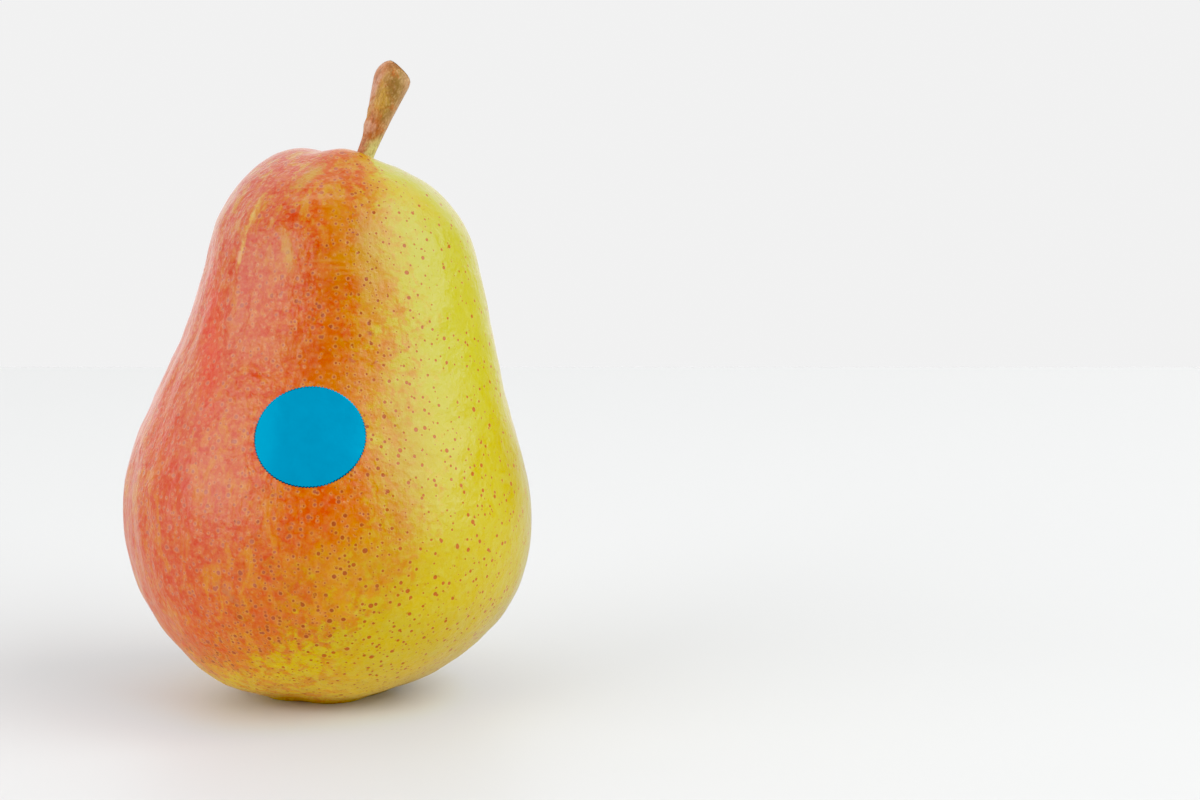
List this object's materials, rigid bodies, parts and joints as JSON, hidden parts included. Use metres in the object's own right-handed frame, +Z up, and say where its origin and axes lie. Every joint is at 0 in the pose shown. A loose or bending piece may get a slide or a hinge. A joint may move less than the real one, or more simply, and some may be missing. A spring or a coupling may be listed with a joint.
{
  "type": "pear",
  "caption": "Whole ripe pear standing on its blossom end, with a woody stem, a dried calyx in the basin underneath and a blank oval sticker on the skin.",
  "frame": {"origin": "on the surface that the pear stands on, under the middle of its bounding box", "axes": "+Z up along the fruit to its stem, -Y towards the front, where the sticker is, +X the side that the stem leans to"},
  "size_m": [0.079, 0.078, 0.1225],
  "materials": {
    "skin": "satin",
    "stem_bark": "matte",
    "dried_calyx": "matte",
    "label_film": "satin"
  },
  "bodies": {
    "root": {"fruit": "skin", "stem": "stem_bark", "calyx": "dried_calyx", "sticker": "label_film"}
  },
  "joints": []
}
